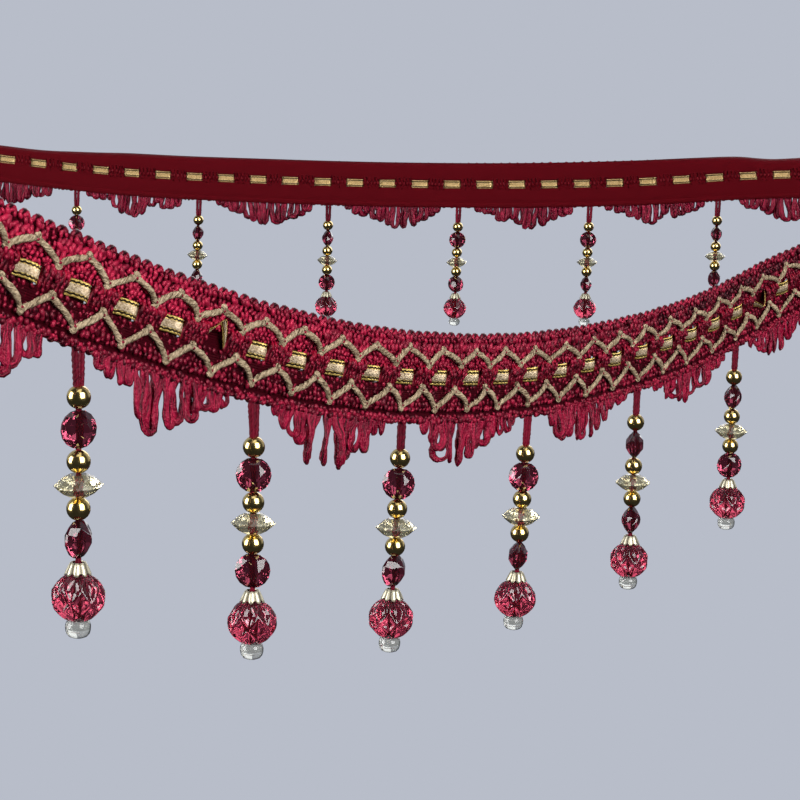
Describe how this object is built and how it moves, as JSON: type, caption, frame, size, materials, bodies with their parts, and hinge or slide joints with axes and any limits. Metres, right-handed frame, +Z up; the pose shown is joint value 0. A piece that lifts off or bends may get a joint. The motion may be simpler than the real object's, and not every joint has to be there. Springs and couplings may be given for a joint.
{
  "type": "beaded fringe trim",
  "caption": "Hung length of burgundy braid with a woven-in gold ribbon, gold zigzag cords, scallops of looped yarn and bead drops, turned back on itself in a wide bend.",
  "frame": {"origin": "point on the braid's top edge, on its middle line, above the front run's third repeat, where the trim is hung", "axes": "+Z up, +X to the right and +Y away as the front run is seen, with the gold cords on the outer face"},
  "size_m": [0.5428, 0.8437, 0.1455],
  "materials": {
    "braid": "shiny burgundy rayon braid with fine ribs",
    "loop_yarn": "shiny burgundy rayon yarn",
    "gold_ribbon": "pale gold metallic ribbon with bright edges",
    "gold_cord": "beige and gold twisted cord",
    "thread": "dark red polyester thread",
    "wine_bead": "clear dark red faceted acrylic",
    "carved_bead": "clear pink red carved acrylic",
    "clear_bead": "clear faceted acrylic with a pale gold edge",
    "gold_bead": "polished gold plating",
    "bead_cap": "pale gold fluted plating"
  },
  "bodies": {
    "root": {"braid": "braid", "ribbon": "gold_ribbon", "zigzag_upper": "gold_cord", "zigzag_lower": "gold_cord", "fringe_01": "loop_yarn", "fringe_02": "loop_yarn", "fringe_03": "loop_yarn", "fringe_04": "loop_yarn", "fringe_05": "loop_yarn", "fringe_06": "loop_yarn", "fringe_07": "loop_yarn", "fringe_08": "loop_yarn", "fringe_09": "loop_yarn", "fringe_10": "loop_yarn", "fringe_11": "loop_yarn", "fringe_12": "loop_yarn", "fringe_13": "loop_yarn", "fringe_14": "loop_yarn", "fringe_15": "loop_yarn", "fringe_16": "loop_yarn", "fringe_17": "loop_yarn", "fringe_18": "loop_yarn", "fringe_19": "loop_yarn", "fringe_20": "loop_yarn", "fringe_21": "loop_yarn", "drop_01": "wine_bead", "drop_02": "wine_bead", "drop_03": "wine_bead", "drop_04": "wine_bead", "drop_05": "wine_bead", "drop_06": "wine_bead", "drop_07": "wine_bead", "drop_08": "wine_bead", "drop_09": "wine_bead", "drop_10": "wine_bead", "drop_11": "wine_bead", "drop_12": "wine_bead", "drop_13": "wine_bead", "drop_14": "wine_bead", "drop_15": "wine_bead", "drop_16": "wine_bead", "drop_17": "wine_bead", "drop_18": "wine_bead", "drop_19": "wine_bead", "drop_20": "wine_bead"}
  },
  "joints": []
}
